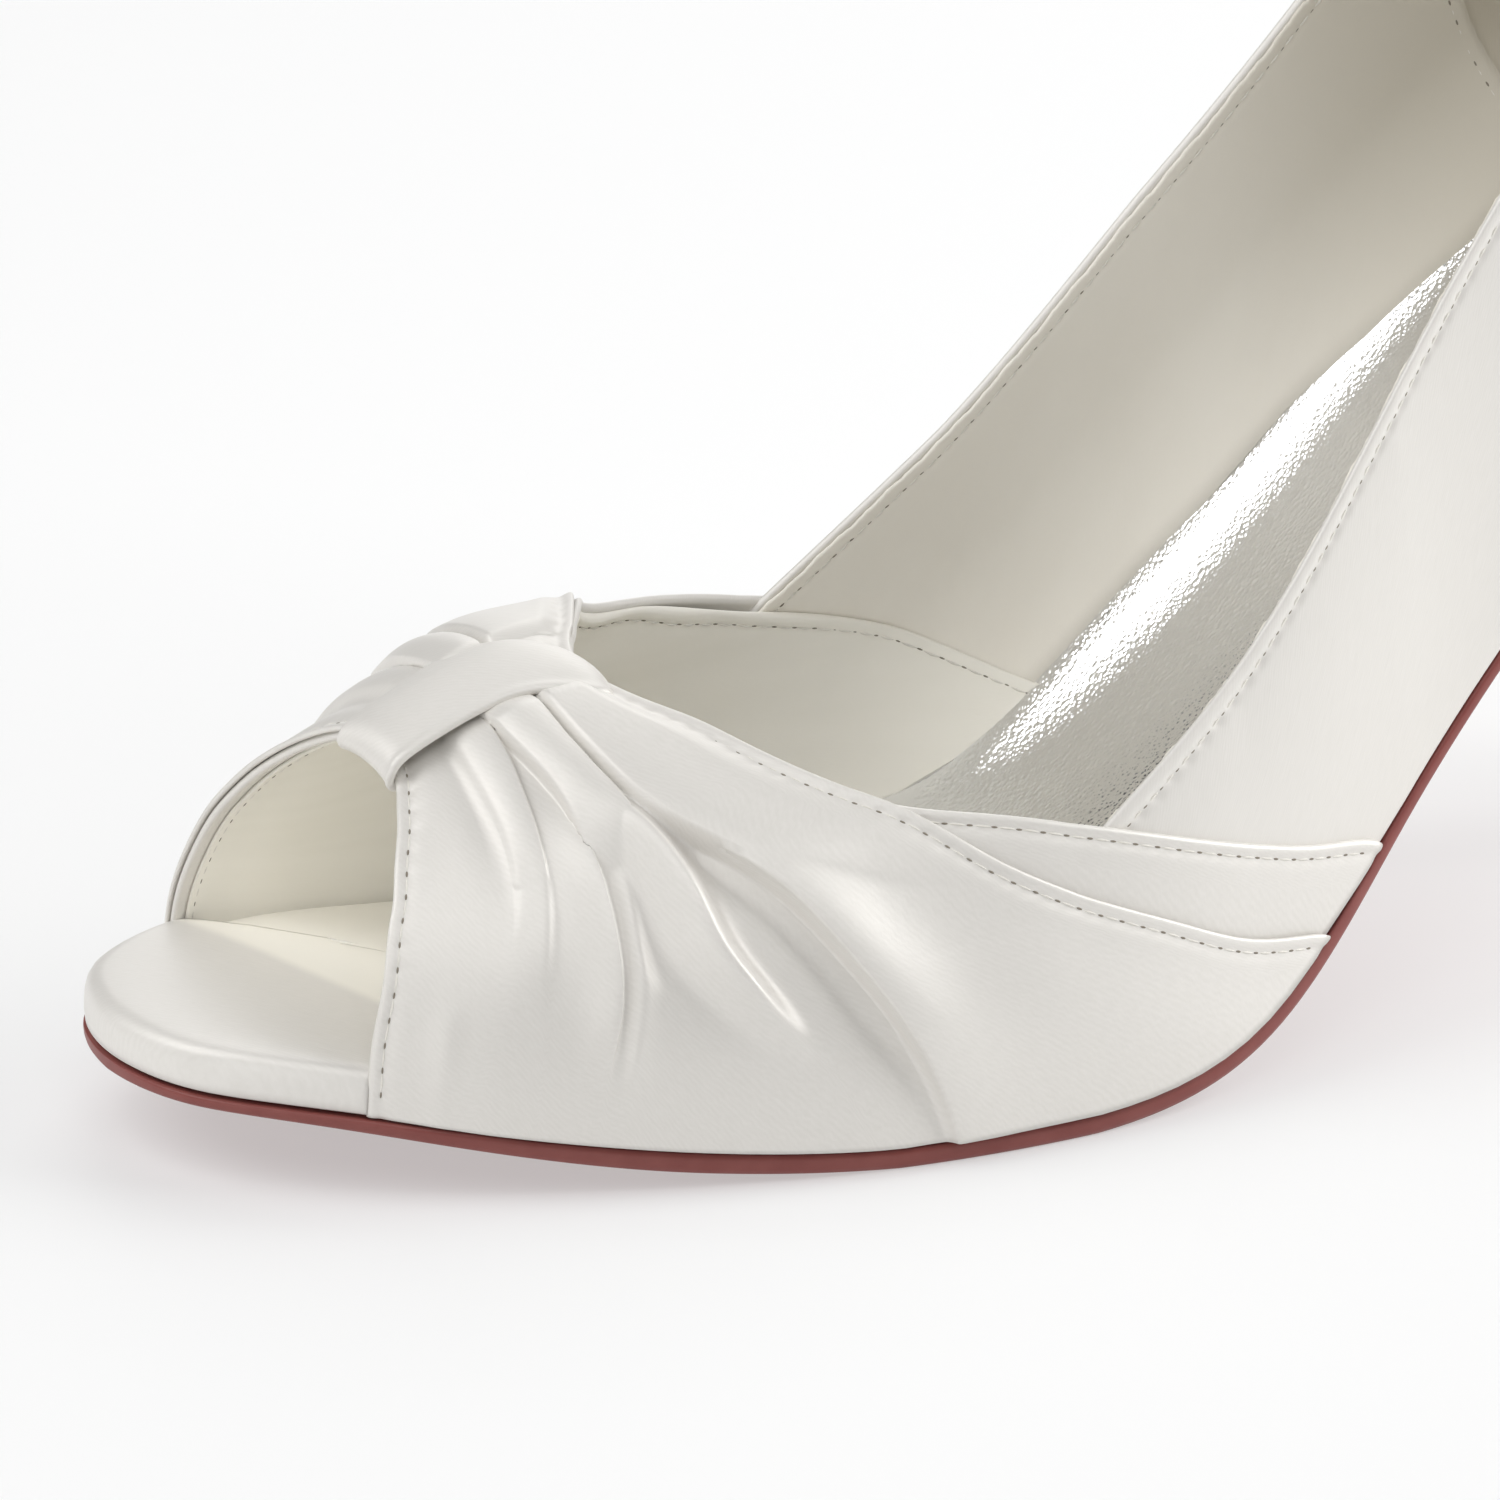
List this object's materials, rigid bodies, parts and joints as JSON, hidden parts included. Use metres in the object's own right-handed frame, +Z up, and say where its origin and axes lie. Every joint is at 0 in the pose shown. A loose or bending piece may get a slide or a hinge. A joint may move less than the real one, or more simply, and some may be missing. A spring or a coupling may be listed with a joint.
{
  "type": "wedding shoe",
  "caption": "Open-toed satin court shoe for the left foot, with a pleated vamp gathered under a knot band, a silver sock, a thin leather sole and a slim covered heel.",
  "frame": {"origin": "on the floor under the middle of the shoe", "axes": "+Z up, toe towards -Y, outer side of the left foot towards +X"},
  "size_m": [0.082, 0.2178, 0.1452],
  "materials": {
    "satin": "ivory duchess satin, soft sheen",
    "insole_satin": "satin-wrapped insole board, cream lining behind",
    "silver_leather": "metallic pebble grain",
    "sole_leather": "rust red, polished edge",
    "top_piece": "matt"
  },
  "bodies": {
    "root": {"outsole": "sole_leather", "insole": "insole_satin", "sock": "silver_leather", "upper": "satin", "vamp_drape": "satin", "knot_band": "satin", "heel": "satin", "top_piece": "top_piece"}
  },
  "joints": []
}
